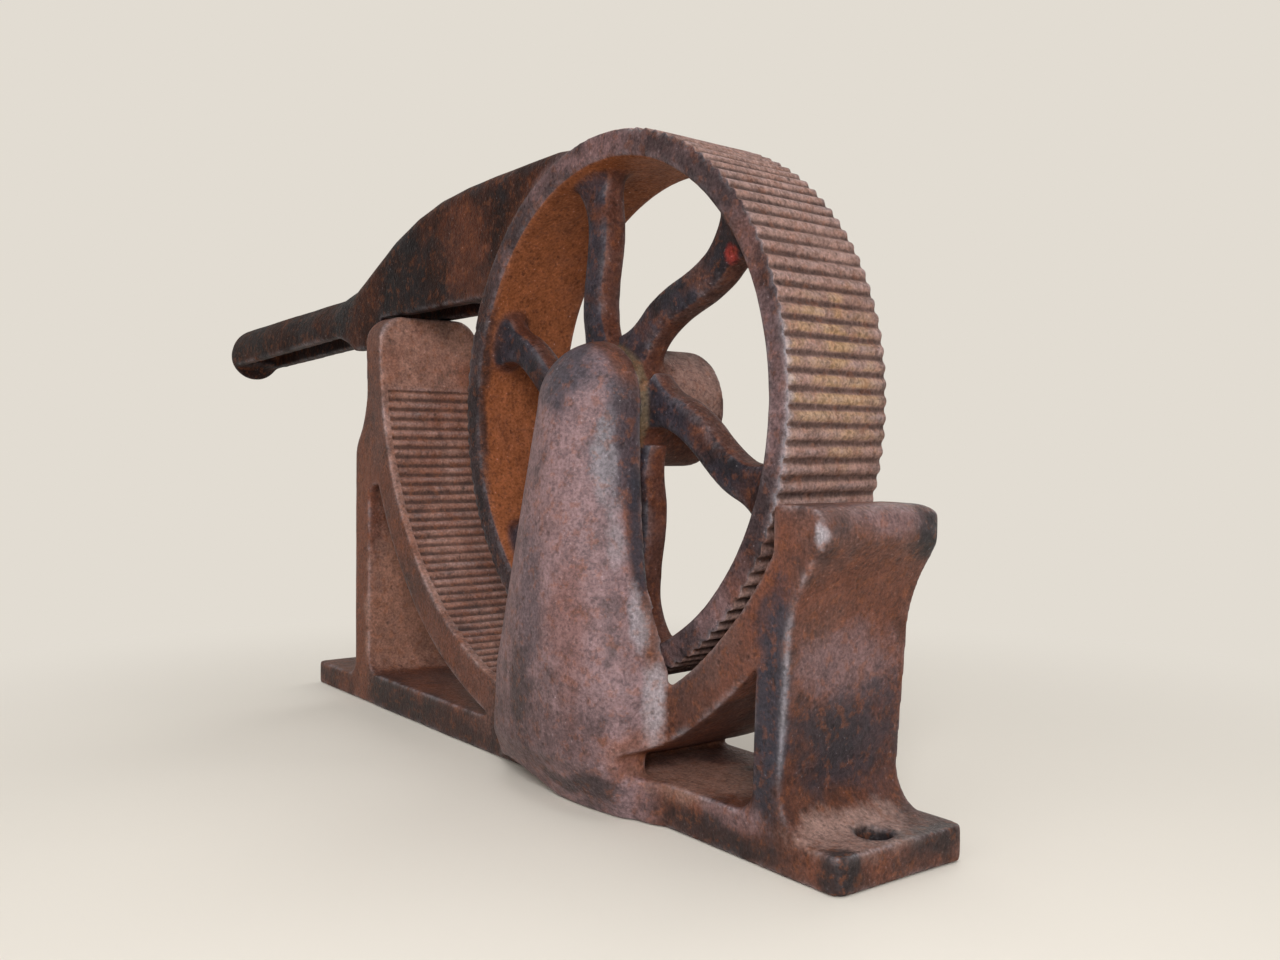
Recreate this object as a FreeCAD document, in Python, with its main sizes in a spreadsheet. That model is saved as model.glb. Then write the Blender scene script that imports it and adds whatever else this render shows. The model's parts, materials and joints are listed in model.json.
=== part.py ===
import FreeCAD, Part
import math
import os
import re
import Sketcher

# Rotary cork press: a ribbed wheel with a lever turns on a pin inside a ribbed cradle.
# The wheel's axle runs along Y, the lever points to -X, and the table is at Z = 0.
# The origin is on the table, straight under the axle.

SIZES = {
    "wheel_radius": (57.15, "outside of the ribbed rim, at its front edge"),
    "rim_width": (25.6, "rim along the axle"),
    "rim_thick": (5.9, "rim from inside to outside"),
    "rim_draft": (0.6, "how much smaller the rim is at its back edge"),
    "hub_radius": (12.6, "hub"),
    "hub_inset": (1.6, "hub's ends inside the rim's faces"),
    "pin_radius": (4.0, "axle pin"),
    "pin_play": (0.05, "running clearance of the hub on the pin"),
    "end_play": (0.4, "side clearance of the hub"),
    "head_gap": (0.3, "clearance of the pin head behind the hub"),
    "pin_seat": (11.0, "length of pin held in the standard"),
    "pin_head_radius": (7.0, "pin head"),
    "pin_head_thick": (3.0, "pin head"),
    "spoke_count": (6, "spokes"),
    "spoke_width": (7.0, "spoke in the plane of the wheel, at its middle"),
    "spoke_depth": (5.6, "spoke along the axle"),
    "spoke_front": (9.0, "spoke front face, ahead of the wheel's middle"),
    "spoke_lag": (18.5, "degrees by which a spoke's tip trails its root"),
    "spoke_sway": (2.2, "how far a spoke swings to each side of its straight line"),
    "hub_flare": (4.5, "how much a spoke widens into the hub, each side"),
    "rim_flare": (11.0, "how much a spoke widens into the rim, each side"),
    "rib_pitch": (3.2, "groove to groove"),
    "rib_width": (2.3, "groove at its mouth"),
    "rib_depth": (1.0, "groove"),
    "rib_arc": (279.5, "degrees of the rim that are grooved"),
    "rib_count": ("=floor(rib_arc / 180 * pi * wheel_radius / rib_pitch) + 1", "grooves round the rim"),
    "throat_gap": (3.182, "wheel to cradle where they are closest"),
    "throat_shift": (16.5, "centre of the cradle's curve, beside the axle"),
    "throat_rise": (19.4, "centre of the cradle's curve, above the axle"),
    "cradle_radius": ("=wheel_radius + throat_gap + sqrt(throat_shift^2 + throat_rise^2)", "its inside"),
    "cradle_wall": (9.4, "cradle wall"),
    "cradle_floor": (5.7, "table to the underside of the cradle wall"),
    "cradle_x": ("=-throat_shift", "centre of the cradle's curve"),
    "cradle_z": ("=cradle_floor + cradle_wall + cradle_radius", "centre of the cradle's curve"),
    "axle_height": ("=cradle_z - throat_rise", "table to wheel axis"),
    "mouth_rise": (27.3, "cradle's mouth above the axle"),
    "cradle_top": ("=axle_height + mouth_rise", "top of the cradle's mouth"),
    "cradle_corner": (7.0, "rounding of the mouth's upper corners"),
    "cradle_border": (2.2, "plain border beside the cradle's grooves"),
    "cradle_rib_arc": (134.8, "degrees of the cradle that are grooved"),
    "cradle_rib_count": ("=floor(cradle_rib_arc / 180 * pi * cradle_radius / rib_pitch) + 1", "its grooves"),
    "lever_width": (19.0, "lever along the axle"),
    "lever_wall": (3.5, "side walls of the lever's hood"),
    "lever_roof": (4.6, "top of the lever's hood"),
    "lever_flare": (2.3, "how much the lever widens into the rim, each side"),
    "lever_reach": (254.5, "axle to the tip of the grip"),
    "lever_round": (3.0, "rounding of the lever's top edges, at the rim"),
    "stop_gap": (0.5, "lever over the cradle's mouth, at rest"),
    "hook_gap": (2.8, "lever's hook behind the cradle's back"),
    "grip_rise": (9.65, "top of the grip over the lever's stop"),
    "grip_round": (9.2, "rounding of the grip's top edges"),
    "side_room": (2.5, "wheel's rim inside the frame, each side"),
    "frame_width": ("=rim_width + 2 * side_room", "frame along the axle"),
    "foot_thick": (6.5, "end feet"),
    "foot_corner": (2.2, "rounding of the feet's corners"),
    "rail_height": (8.5, "base rail between the legs"),
    "root_round": (5.0, "hollow rounding where legs meet the base"),
    "leg_set": (7.1, "left leg's outer face beyond the cradle's back"),
    "leg_thick": (9.4, "left leg"),
    "leg_x": ("=cradle_x - cradle_radius - cradle_wall - leg_set", "outer face of the left leg"),
    "left_foot": (27.2, "left foot beyond the leg"),
    "left_end": ("=leg_x - left_foot", "end of the left foot"),
    "lip_drop": (17.9, "rolled lip's top below the axle"),
    "lip_top": ("=axle_height - lip_drop", "top of the rolled lip"),
    "exit_gap": (1.726, "wheel to the right end plate"),
    "exit_x": ("=sqrt(wheel_radius^2 - lip_drop^2) + exit_gap", "plate's inner face beside the wheel"),
    "plate_lean": (1.2, "plate's outer face at the foot, beyond its inner face at the wheel"),
    "plate_thick": (7.0, "right end plate"),
    "plate_x": ("=exit_x + plate_lean", "outer face of the right end plate, at the foot"),
    "lip_reach": (8.5, "centre of the lip's roll, beyond the plate's inner face"),
    "lip_x": ("=exit_x + lip_reach", "centre of the lip's roll"),
    "lip_radius": (4.3, "roll of the lip"),
    "lip_corner": (4.0, "rounding of the lip's rear corner"),
    "lip_fall": (4.5, "rounding of the lip's top at its rear end"),
    "plate_root": (8.0, "hollow rounding where the plate meets its foot"),
    "right_foot": (15.3, "right foot beyond the plate"),
    "foot_flare": (1.9, "how much wider the right foot is at its back"),
    "right_end": ("=plate_x + right_foot", "end of the right foot"),
    "screw_hole": (6.1, "screw hole"),
    "left_hole_inset": (12.3, "left screw hole from the foot's end"),
    "left_hole": ("=left_end + left_hole_inset", "left screw hole"),
    "right_hole_inset": (6.2, "right screw hole from the foot's end"),
    "right_hole": ("=right_end - right_hole_inset", "right screw hole"),
    "post_radius": (13.7, "standard's domed top"),
    "post_back": ("=rim_width / 2 - hub_inset + end_play", "standard's inner face, at the axle"),
    "post_bed": (0.3, "how deep the standard's back is set into the frame"),
    "post_lean": ("=frame_width / 2 - post_bed - post_back", "how far its back leans out to its foot"),
    "notch_height": (4.5, "hollow under the standard's left side"),
}

doc = FreeCAD.newDocument("CorkPress")
sheet = doc.addObject("Spreadsheet::Sheet", "Sizes")
for row, (name, (value, meaning)) in enumerate(SIZES.items(), start=1):
    sheet.set("A%d" % row, name)
    sheet.set("B%d" % row, str(value))
    sheet.setAlias("B%d" % row, name)
    sheet.set("C%d" % row, meaning)
doc.recompute()


def bound(text):
    """The expression with each size's name pointing at its cell."""
    names = "|".join(sorted(SIZES, key=len, reverse=True))
    return re.sub(r"\b(%s)\b" % names, r"Sizes.\1", str(text))


def number(text):
    return float(sheet.evalExpression(str(text)))


def vector(x, y, z="0"):
    return FreeCAD.Vector(number(x), number(y), number(z))


def bind(thing, prop, text):
    thing.setExpression(prop, bound(text))


def new_body(label):
    body = doc.addObject("PartDesign::Body", label)
    body.Label = label
    return body


def new_sketch(body, role, name, origin=("0", "0", "0"), turn=0):
    """A sketch on one of the body's own planes, moved to origin and turned in that plane."""
    sketch = body.newObject("Sketcher::SketchObject", name)
    plane = [item for item in body.Origin.OriginFeatures if item.Role == role][0]
    sketch.AttachmentSupport = [(plane, "")]
    sketch.MapMode = "FlatFace"
    turned = FreeCAD.Rotation(FreeCAD.Vector(0, 0, 1), turn)
    sketch.AttachmentOffset = FreeCAD.Placement(vector(*origin), turned)
    for axis, text in zip("xyz", origin):
        if text != "0":
            bind(sketch, "AttachmentOffset.Base." + axis, text)
    return sketch


def pin_down(sketch, geometry, end, x, y):
    """Holds a point of the sketch at the place that two expressions give."""
    for kind, text in (("DistanceX", x), ("DistanceY", y)):
        index = sketch.addConstraint(Sketcher.Constraint(kind, -1, 1, geometry, end, number(text)))
        bind(sketch, "Constraints[%d]" % index, text)


def arc_between(start, middle, end):
    """An arc through three points, and whether it runs anticlockwise."""
    curve = Part.Arc(start, middle, end).toShape().Curve
    centre = curve.Center
    forward = (middle - start).cross(end - middle).z > 0
    first, last = (start, end) if forward else (end, start)
    begin, finish = [math.atan2(point.y - centre.y, point.x - centre.x) for point in (first, last)]
    if finish < begin:
        finish += 2 * math.pi
    flat = Part.Circle(centre, FreeCAD.Vector(0, 0, 1), curve.Radius)
    return Part.ArcOfCircle(flat, begin, finish), forward


def outline(sketch, steps, closed=True):
    """Draws from point to point: two texts are a line's end, four are an arc's middle and end."""
    here = steps[0]
    first = None
    last = None
    path = steps[1:]
    if closed and path[-1][-2:] != here:
        path = path + [here]
    for place, step in enumerate(path, start=1):
        there = step[-2:]
        ends = (1, 2)
        if len(step) == 4:
            shape, forward = arc_between(vector(*here), vector(*step[:2]), vector(*there))
            ends = (1, 2) if forward else (2, 1)
        else:
            shape = Part.LineSegment(vector(*here), vector(*there))
        index = sketch.addGeometry(shape, False)
        if len(step) == 4:
            through = sketch.addGeometry(Part.Point(vector(*step[:2])), True)
            pin_down(sketch, through, 1, *step[:2])
            sketch.addConstraint(Sketcher.Constraint("PointOnObject", through, 1, index))
        if last is None:
            pin_down(sketch, index, ends[0], *here)
            first = (index, ends[0])
        else:
            sketch.addConstraint(Sketcher.Constraint("Coincident", *last, index, ends[0]))
        if closed and place == len(path):
            sketch.addConstraint(Sketcher.Constraint("Coincident", index, ends[1], *first))
        else:
            pin_down(sketch, index, ends[1], *there)
        last = (index, ends[1])
        here = there


def rounded_box(x0, x1, y0, y1, radius):
    """Steps for a rectangle with rounded corners."""
    bulge = "%s * (1 - sqrt(0.5))" % radius
    corners = [(x1, y0, "-", "+", True), (x1, y1, "-", "-", False),
               (x0, y1, "+", "-", True), (x0, y0, "+", "+", False)]
    steps = []
    for x, y, inward_x, inward_y, along_x in corners:
        beside_x = ("%s %s %s" % (x, inward_x, radius), y)
        beside_y = (x, "%s %s %s" % (y, inward_y, radius))
        middle = ("%s %s %s" % (x, inward_x, bulge), "%s %s %s" % (y, inward_y, bulge))
        before, after = (beside_x, beside_y) if along_x else (beside_y, beside_x)
        steps.append(before)
        steps.append(middle + after)
    return steps


def circle(sketch, radius, x="0", y="0"):
    drawn = Part.Circle(vector(x, y), FreeCAD.Vector(0, 0, 1), number(radius))
    index = sketch.addGeometry(drawn, False)
    pin_down(sketch, index, 3, x, y)
    place = sketch.addConstraint(Sketcher.Constraint("Radius", index, number(radius)))
    bind(sketch, "Constraints[%d]" % place, radius)


def extrude(body, kind, name, sketch, length=None, side="Symmetric", backwards=False):
    """A Pad or Pocket; with no length it goes through everything."""
    before = body.Shape.Volume if kind == "Pocket" else 0.0
    feature = body.newObject("PartDesign::" + kind, name)
    feature.Profile = (sketch, [""])
    feature.SideType = side
    feature.Reversed = backwards
    if length is None:
        feature.Type = "ThroughAll"
    else:
        bind(feature, "Length", length)
    doc.recompute()
    if kind == "Pocket" and body.Shape.Volume > before - 0.5:
        raise RuntimeError(name + " cuts nothing")
    return feature


def revolve(body, name, sketch, axis="V_Axis", angle=360, backwards=False):
    feature = body.newObject("PartDesign::Revolution", name)
    feature.Profile = (sketch, [""])
    feature.ReferenceAxis = (sketch, [axis])
    feature.Angle = angle
    feature.Reversed = backwards
    doc.recompute()
    return feature


def round_edges(body, name, radius, wanted):
    """Fillets the edges of the body's newest feature that wanted() picks."""
    base = body.Tip
    names = ["Edge%d" % place for place, edge in enumerate(base.Shape.Edges, start=1) if wanted(edge)]
    if not names:
        raise RuntimeError(name + " finds no edge")
    fillet = body.newObject("PartDesign::Fillet", name)
    fillet.Base = (base, names)
    bind(fillet, "Radius", radius)
    doc.recompute()
    if not fillet.isValid():
        raise RuntimeError(name + " can't be rounded")
    return fillet


def repeat_round(body, name, original, sketch, count, extent):
    """Repeats a feature round the middle of a sketch."""
    pattern = body.newObject("PartDesign::PolarPattern", name)
    pattern.Originals = [original]
    pattern.Axis = (sketch, ["N_Axis"])
    bind(pattern, "Angle", extent)
    bind(pattern, "Occurrences", count)
    body.Tip = pattern
    doc.recompute()
    return pattern


def near(value, text, slack=0.05):
    return abs(value - number(text)) <= slack


def groove(body, name, sketch, mouth, floor, length):
    """A V groove below the sketch's middle, from its open mouth to its floor."""
    outline(sketch, [("-rib_width / 2", mouth), ("0", floor), ("rib_width / 2", mouth)])
    return extrude(body, "Pocket", name, sketch, length)


def build_frame():
    body = new_body("cradle_frame")
    half = "frame_width / 2"

    feet = new_sketch(body, "XY_Plane", "feet_outline")
    outline(feet, rounded_box("left_end", "right_end", "-" + half, half, "foot_corner"))
    extrude(body, "Pad", "feet", feet, "foot_thick", side="One side")
    wide = new_sketch(body, "XY_Plane", "wide_foot_outline")
    outline(wide, rounded_box("plate_x - plate_thick", "right_end", "-" + half, half + " + foot_flare",
                              "foot_corner"))
    extrude(body, "Pad", "wide_foot", wide, "foot_thick", side="One side")

    rail = new_sketch(body, "XZ_Plane", "rail_outline")
    outline(rail, [("leg_x", "0"), ("plate_x", "0"),
                   ("plate_x", "rail_height"), ("leg_x", "rail_height")])
    extrude(body, "Pad", "rail", rail, "frame_width")

    # The left leg leans its shoulder into the back of the cradle wall.
    leg = new_sketch(body, "XZ_Plane", "leg_outline")
    inside = "leg_x + leg_thick"
    outline(leg, [
        ("leg_x", "0"), (inside, "0"), (inside, "cradle_z - 45"),
        (inside + " + 1.2", "cradle_z - 40.6", inside + " + 4", "cradle_z - 39"),
        (inside + " + 9", "cradle_z - 39"), (inside + " + 6", "cradle_z - 10"),
        ("leg_x + 8", "cradle_z - 10"),
        ("leg_x + 6.4", "cradle_z - 19.5", "leg_x + 2.8", "cradle_z - 25.5"),
        ("leg_x + 0.75", "cradle_z - 28.6", "leg_x", "cradle_z - 32")])
    extrude(body, "Pad", "leg", leg, "frame_width")

    ring = new_sketch(body, "XZ_Plane", "cradle_outline", ("cradle_x", "cradle_z", "0"))
    outer = "(cradle_radius + cradle_wall)"
    mouth = "(cradle_top - cradle_z)"
    end = "(lip_top - 9 - cradle_z)"
    end_outside = "(lip_top - 20 - cradle_z)"
    outline(ring, [
        ("-sqrt(cradle_radius^2 - %s^2)" % mouth, mouth),
        ("0", "-cradle_radius", "sqrt(cradle_radius^2 - %s^2)" % end, end),
        ("sqrt(%s^2 - %s^2)" % (outer, end_outside), end_outside),
        ("0", "-" + outer, "-sqrt(%s^2 - %s^2)" % (outer, mouth), mouth)])
    extrude(body, "Pad", "cradle", ring, "frame_width")

    # The right end plate flares outward in a hollow curve to a rolled lip.
    plate = new_sketch(body, "XZ_Plane", "plate_outline")
    inner = "plate_x - plate_thick"
    roll = "lip_top - lip_radius"
    outline(plate, [
        (inner, "0"), ("plate_x", "0"), ("plate_x + 2.8", "lip_top - 27"),
        ("plate_x + 5.2", "lip_top - 15.2",
         "lip_x + lip_radius * cos(50)", roll + " - lip_radius * sin(50)"),
        ("lip_x + lip_radius * cos(20)", roll + " + lip_radius * sin(20)", "lip_x", "lip_top"),
        ("exit_x", "lip_top"), ("exit_x", "lip_top - 9"), (inner + " + 2", "lip_top - 27")])
    extrude(body, "Pad", "plate", plate, "frame_width")

    def root_at(height, *places):
        """Picks the edges across the frame that lie at a height and at one of the places along X."""
        def wanted(edge):
            middle = edge.CenterOfMass
            across = abs(edge.BoundBox.YLength - number("frame_width")) < 0.1
            return across and near(middle.z, height) and any(near(middle.x, x, 1) for x in places)
        return wanted

    round_edges(body, "plate_root", "plate_root", root_at("foot_thick", "plate_x"))
    round_edges(body, "leg_root", "root_round", root_at("foot_thick", "leg_x"))
    round_edges(body, "rail_roots", "root_round", root_at("rail_height", inside, inner))
    round_edges(body, "mouth_corners", "cradle_corner", lambda edge: near(edge.CenterOfMass.z, "cradle_top")
                and near(abs(edge.CenterOfMass.y), half))

    add_standard(body)

    # The opening below the cradle is cut into the standard's swell and ends there bluntly.
    def under_cradle(x):
        return "cradle_z - sqrt(%s^2 - (%s - cradle_x)^2)" % (outer, x)

    apex = "post_radius + 6.8"
    half_way = "(post_radius + 6.8 + %s) / 2" % inner
    window = new_sketch(body, "XZ_Plane", "window_outline", ("0", "0", "post_back + 0.88 * post_lean"))
    outline(window, [
        (apex, "rail_height"), (inner + " + 1.5", "rail_height"),
        (inner + " + 1.5", under_cradle("(%s + 1.5)" % inner)),
        (half_way, under_cradle(half_way), apex, under_cradle("(%s)" % apex))])
    extrude(body, "Pocket", "window", window, side="One side", backwards=True)

    corner = new_sketch(body, "XY_Plane", "lip_corner_outline", ("0", "0", "lip_top - 15"))
    nose = "lip_x + lip_radius"
    outline(corner, [
        (nose + " - lip_corner", half),
        ("%s - lip_corner * (1 - sqrt(0.5))" % nose, "%s - lip_corner * (1 - sqrt(0.5))" % half,
         nose, half + " - lip_corner"),
        (nose + " + 2", half + " - lip_corner"), (nose + " + 2", half + " + 2"),
        (nose + " - lip_corner", half + " + 2")])
    extrude(body, "Pocket", "lip_corner", corner, side="One side", backwards=True)
    fall = new_sketch(body, "YZ_Plane", "lip_fall_outline", ("0", "0", "exit_x - 1"))
    outline(fall, [
        (half + " - lip_fall", "lip_top"),
        ("%s - lip_fall * (1 - sqrt(0.5))" % half, "lip_top - lip_fall * (1 - sqrt(0.5))",
         half, "lip_top - lip_fall"),
        (half + " + 2", "lip_top - lip_fall"), (half + " + 2", "lip_top + 2"),
        (half + " - lip_fall", "lip_top + 2")])
    extrude(body, "Pocket", "lip_fall", fall, side="One side", backwards=True)

    notch = new_sketch(body, "XZ_Plane", "notch_outline", ("0", "0", half))
    outline(notch, [("-post_radius * 2.6", "0"), ("-post_radius * 0.2", "0"),
                    ("-post_radius * 1.4", "notch_height", "-post_radius * 2.6", "0")])
    extrude(body, "Pocket", "notch", notch, side="One side", backwards=True)

    seat = new_sketch(body, "XZ_Plane", "pin_seat_outline", ("0", "axle_height", "post_back"))
    circle(seat, "pin_radius")
    extrude(body, "Pocket", "pin_seat", seat, "pin_seat", side="One side", backwards=True)

    holes = new_sketch(body, "XY_Plane", "screw_holes_outline")
    circle(holes, "screw_hole / 2", "left_hole")
    circle(holes, "screw_hole / 2", "right_hole")
    extrude(body, "Pocket", "screw_holes", holes, "foot_thick * 2", side="One side", backwards=True)

    # The first groove lies under the smooth lip of the mouth, the last at the narrow exit.
    ribs = new_sketch(body, "XZ_Plane", "cradle_rib_outline", ("cradle_x", "cradle_z", "0"), turn=-80)
    rib = groove(body, "cradle_rib", ribs, "-cradle_radius + 0.4", "-cradle_radius - rib_depth",
                 "frame_width - 2 * cradle_border")
    turn = "(cradle_rib_count - 1) * rib_pitch / cradle_radius * 180 / pi"
    repeat_round(body, "cradle_ribs", rib, ribs, "cradle_rib_count", turn)
    return body


def half_oval(body, name, height, left, right, deep, back, square=0.0):
    """A flat-backed section of the standard; square pushes its rounded shoulders out."""
    section = new_sketch(body, "XY_Plane", name, ("0", "-(%s)" % back, height))

    def on_oval(angle):
        wide = left if angle > 90 else right
        out = 1 + square * math.sin(2 * math.radians(angle)) ** 2
        return "(%s) * %.4f * cos(%d)" % (wide, out, angle), "-(%s) * %.4f * sin(%d)" % (deep, out, angle)

    outline(section, [
        on_oval(0), on_oval(180), on_oval(157) + on_oval(132), on_oval(112) + on_oval(90),
        on_oval(68) + on_oval(48), on_oval(23) + on_oval(0)])
    return section


def loft(body, name, levels, ruled=False):
    sections = [half_oval(body, "%s_%d" % (name, place), *level) for place, level in enumerate(levels)]
    feature = body.newObject("PartDesign::AdditiveLoft", name)
    feature.Profile = (sections[0], [""])
    feature.Sections = [(section, [""]) for section in sections[1:]]
    feature.Ruled = ruled
    doc.recompute()


def add_standard(body):
    """The half-round post that carries the axle: a shaft, a swollen foot, a thin apron and a dome."""
    waist = ("axle_height * 0.32", "post_radius + 11.3", "post_radius + 10.8", "post_radius + 0.5",
             "post_back + 0.88 * post_lean", 0.1)
    foot_back = "post_back + post_lean"
    loft(body, "shaft", [
        ("axle_height", "post_radius", "post_radius", "post_radius", "post_back"),
        ("axle_height * 0.735", "post_radius + 1.7", "post_radius + 1.7", "post_radius + 2.3",
         "post_back + 0.24 * post_lean", 0.05),
        ("axle_height * 0.49", "post_radius + 6.3", "post_radius + 6", "post_radius + 1.9",
         "post_back + 0.59 * post_lean", 0.09),
        waist])
    loft(body, "swell", [
        waist,
        ("axle_height * 0.135", "post_radius + 14.3", "post_radius + 9.2", "post_radius - 0.7",
         foot_back, 0.08),
        ("0", "post_radius + 17.3", "post_radius + 8", "post_radius - 7.8", foot_back, 0.05)], ruled=True)
    loft(body, "apron", [
        ("axle_height * 0.6", "post_radius + 3.5", "post_radius + 3.5", "1.5",
         "post_back + 0.44 * post_lean"),
        ("axle_height * 0.32", "post_radius + 19", "post_radius + 15", "4.5",
         "post_back + 0.88 * post_lean"),
        ("0", "post_radius + 23", "post_radius + 14", "3.5", foot_back)], ruled=True)

    dome = new_sketch(body, "XY_Plane", "dome_outline", ("0", "-post_back", "axle_height"))
    outline(dome, [("-post_radius", "0"), ("0", "-post_radius", "post_radius", "0")])
    revolve(body, "dome", dome, "H_Axis", 90, backwards=True)


def build_wheel():
    body = new_body("lever_wheel")
    bind(body, "Placement.Base.z", "axle_height")
    hub_half = "(rim_width / 2 - hub_inset)"
    rim_half = "rim_width / 2"
    add_lever(body)

    rim = new_sketch(body, "XY_Plane", "rim_outline")
    inside = "wheel_radius - rim_thick"
    small = "wheel_radius - rim_draft"
    outline(rim, [
        (inside, "-" + rim_half), ("wheel_radius", "-" + rim_half), (small, rim_half),
        (inside, rim_half)])
    revolve(body, "rim", rim)

    # Each spoke is an S that trails from the hub and widens into the hub and the rim.
    root = "(hub_radius - 2.6)"
    run = "((wheel_radius - 0.7 * rim_thick) * cos(spoke_lag) - %s)" % root
    drop = "((wheel_radius - 0.7 * rim_thick) * sin(spoke_lag))"
    length = "sqrt(%s^2 + %s^2)" % (run, drop)

    def beside(share, side, wider="0"):
        """A point on one edge of the spoke, a share of the way from its root to the rim."""
        off = "(%.4f * spoke_sway %s (spoke_width / 2 + %s))" % (math.sin(2 * math.pi * share), side, wider)
        return ("%s + %.3f * %s + %s * %s / %s" % (root, share, run, off, drop, length),
                "-%.3f * %s + %s * %s / %s" % (share, drop, off, run, length))

    upper = [beside(0, "+", "hub_flare"), beside(0.12, "+", "hub_flare * 0.18") + beside(0.26, "+"),
             beside(0.38, "+") + beside(0.5, "+"), beside(0.62, "+") + beside(0.74, "+"),
             beside(0.924, "+", "rim_flare * 0.29") + beside(1, "+", "rim_flare")]
    lower = [beside(1, "-", "rim_flare"), beside(0.924, "-", "rim_flare * 0.29") + beside(0.74, "-"),
             beside(0.62, "-") + beside(0.5, "-"), beside(0.38, "-") + beside(0.26, "-"),
             beside(0.12, "-", "hub_flare * 0.18") + beside(0, "-", "hub_flare")]
    plan = new_sketch(body, "XZ_Plane", "spoke_outline", ("0", "0", "spoke_front - spoke_depth / 2"))
    outline(plan, upper + lower)
    spoke = extrude(body, "Pad", "spoke", plan, "spoke_depth")
    repeat_round(body, "spokes", spoke, plan, "spoke_count", "360")

    hub = new_sketch(body, "XY_Plane", "hub_outline")
    outline(hub, [("0", "-" + hub_half), ("hub_radius", "-" + hub_half),
                  ("hub_radius", hub_half), ("0", hub_half)])
    revolve(body, "hub", hub)

    start = 160
    ribs = new_sketch(body, "XZ_Plane", "rim_rib_outline", turn=start + 90)
    rib = groove(body, "rim_rib", ribs, "-wheel_radius - 0.4", "-wheel_radius + rib_depth",
                 "rim_width + 1")
    turn = "(rib_count - 1) * rib_pitch / wheel_radius * 180 / pi"
    repeat_round(body, "rim_ribs", rib, ribs, "rib_count", turn)

    bore = new_sketch(body, "XZ_Plane", "bore_outline")
    circle(bore, "pin_radius + pin_play")
    extrude(body, "Pocket", "bore", bore)
    return body


def add_lever(body):
    """A hood that runs off the rim's top, dips to a grip and turns down at its tip."""
    tip = "-lever_reach"
    crown = "wheel_radius"
    stop = "(mouth_rise + stop_gap)"
    grip = "(%s + grip_rise)" % stop
    drop = "(%s + 0.4 - %s)" % (crown, grip)
    hook = "(cradle_x - cradle_radius - cradle_wall - hook_gap)"
    neck = "(%s - 35.5)" % hook
    ball = "lever_width / 2"
    floor = stop + " - 20"
    # The back leaves the rim level, falls ever faster and eases into the straight grip.
    steps = 9
    back = [("-2", crown + " - 1.5", "lever_round", "0")]
    for place in range(steps + 1):
        along = "%d / %d" % (place, steps)
        eased = "(1 - cos(180 * (%s)^2.2)) / 2" % along
        where = "-20 + (%s) * (%s + 20)" % (along, neck)
        height = "%s + 0.4 - %s * %s" % (crown, drop, eased)
        back.append((where, height, "(lever_round + (grip_round - lever_round) * %s)" % eased, along))
    back.append((tip + " + " + ball, grip + " - 3.4", "grip_round", "1"))
    sections = []
    for place, (where, height, bend, along) in enumerate(back):
        section = new_sketch(body, "YZ_Plane", "lever_%d" % place, ("0", "0", where))
        side = "(%s + lever_flare * (1 - %s)^2)" % (ball, along)
        flat = "(%s - %s)" % (side, bend)
        diagonal = "%s + (%s) * sqrt(0.5)" % (flat, bend)
        below = "%s - (%s)" % (height, bend)
        rise = "%s + (%s) * sqrt(0.5)" % (below, bend)
        outline(section, [
            ("-" + side, floor), (side, floor), (side, below), (diagonal, rise, flat, height),
            ("-" + flat, height), ("-(%s)" % diagonal, rise, "-" + side, below)])
        sections.append(section)
    hood = body.newObject("PartDesign::AdditiveLoft", "lever")
    hood.Profile = (sections[0], [""])
    hood.Sections = [(section, [""]) for section in sections[1:]]
    hood.Ruled = True
    doc.recompute()

    root = new_sketch(body, "XZ_Plane", "lever_root_outline")
    circle(root, "wheel_radius - rim_thick + 0.3")
    extrude(body, "Pocket", "lever_root", root)

    under = new_sketch(body, "XZ_Plane", "lever_under_outline")
    outline(under, [
        ("0", floor + " - 5"), ("0", stop), (hook, stop),
        (hook + " - 2", stop + " - 6.15", hook + " - 7", stop + " - 8.25"),
        (hook + " - 18.5", stop + " - 8.25"),
        (hook + " - 27", stop + " - 4.65", neck, stop + " - 3.35"),
        (tip + " - 2", stop + " - 8.25"), (tip + " - 2", floor + " - 5")])
    extrude(body, "Pocket", "lever_under", under)

    hollow = new_sketch(body, "XZ_Plane", "hollow_outline")
    trough = grip + " - lever_roof"
    outline(hollow, [
        ("-wheel_radius - 8", stop + " - 20"), ("-wheel_radius - 8", crown + " - lever_roof - 2.2"),
        (hook + " + 20", "%s - lever_roof - 2.2 - 0.2 * %s" % (crown, drop),
         hook + " - 14.5", "%s - lever_roof - 0.8 - 0.765 * %s" % (crown, drop)),
        (hook + " - 25.1", trough + " + 0.95", neck, trough + " - 0.2"),
        (tip + " + 24", trough + " - 2.9"),
        (tip + " + 18", trough + " - 5.3", tip + " + 16", trough + " - 10.3"),
        (tip + " + 16", floor + " - 5")])
    extrude(body, "Pocket", "lever_hollow", hollow, "lever_width - 2 * lever_wall")

    # The grip's end is a blunt nose that hangs a little under the trough.
    nose = "(lever_width / 2 - 0.25)"
    end = new_sketch(body, "XY_Plane", "grip_end_outline", (tip, "0", "%s - 3.7 - %s" % (grip, nose)))
    outline(end, [
        ("0", "0"), ("0", "-0.38 * " + nose), ("0.34 * " + nose, "-0.82 * " + nose), (nose, "-" + nose),
        ("1.7 * " + nose, "-0.3 * " + nose), ("1.7 * " + nose, "0")])
    revolve(body, "grip_end", end, "H_Axis")


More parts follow.
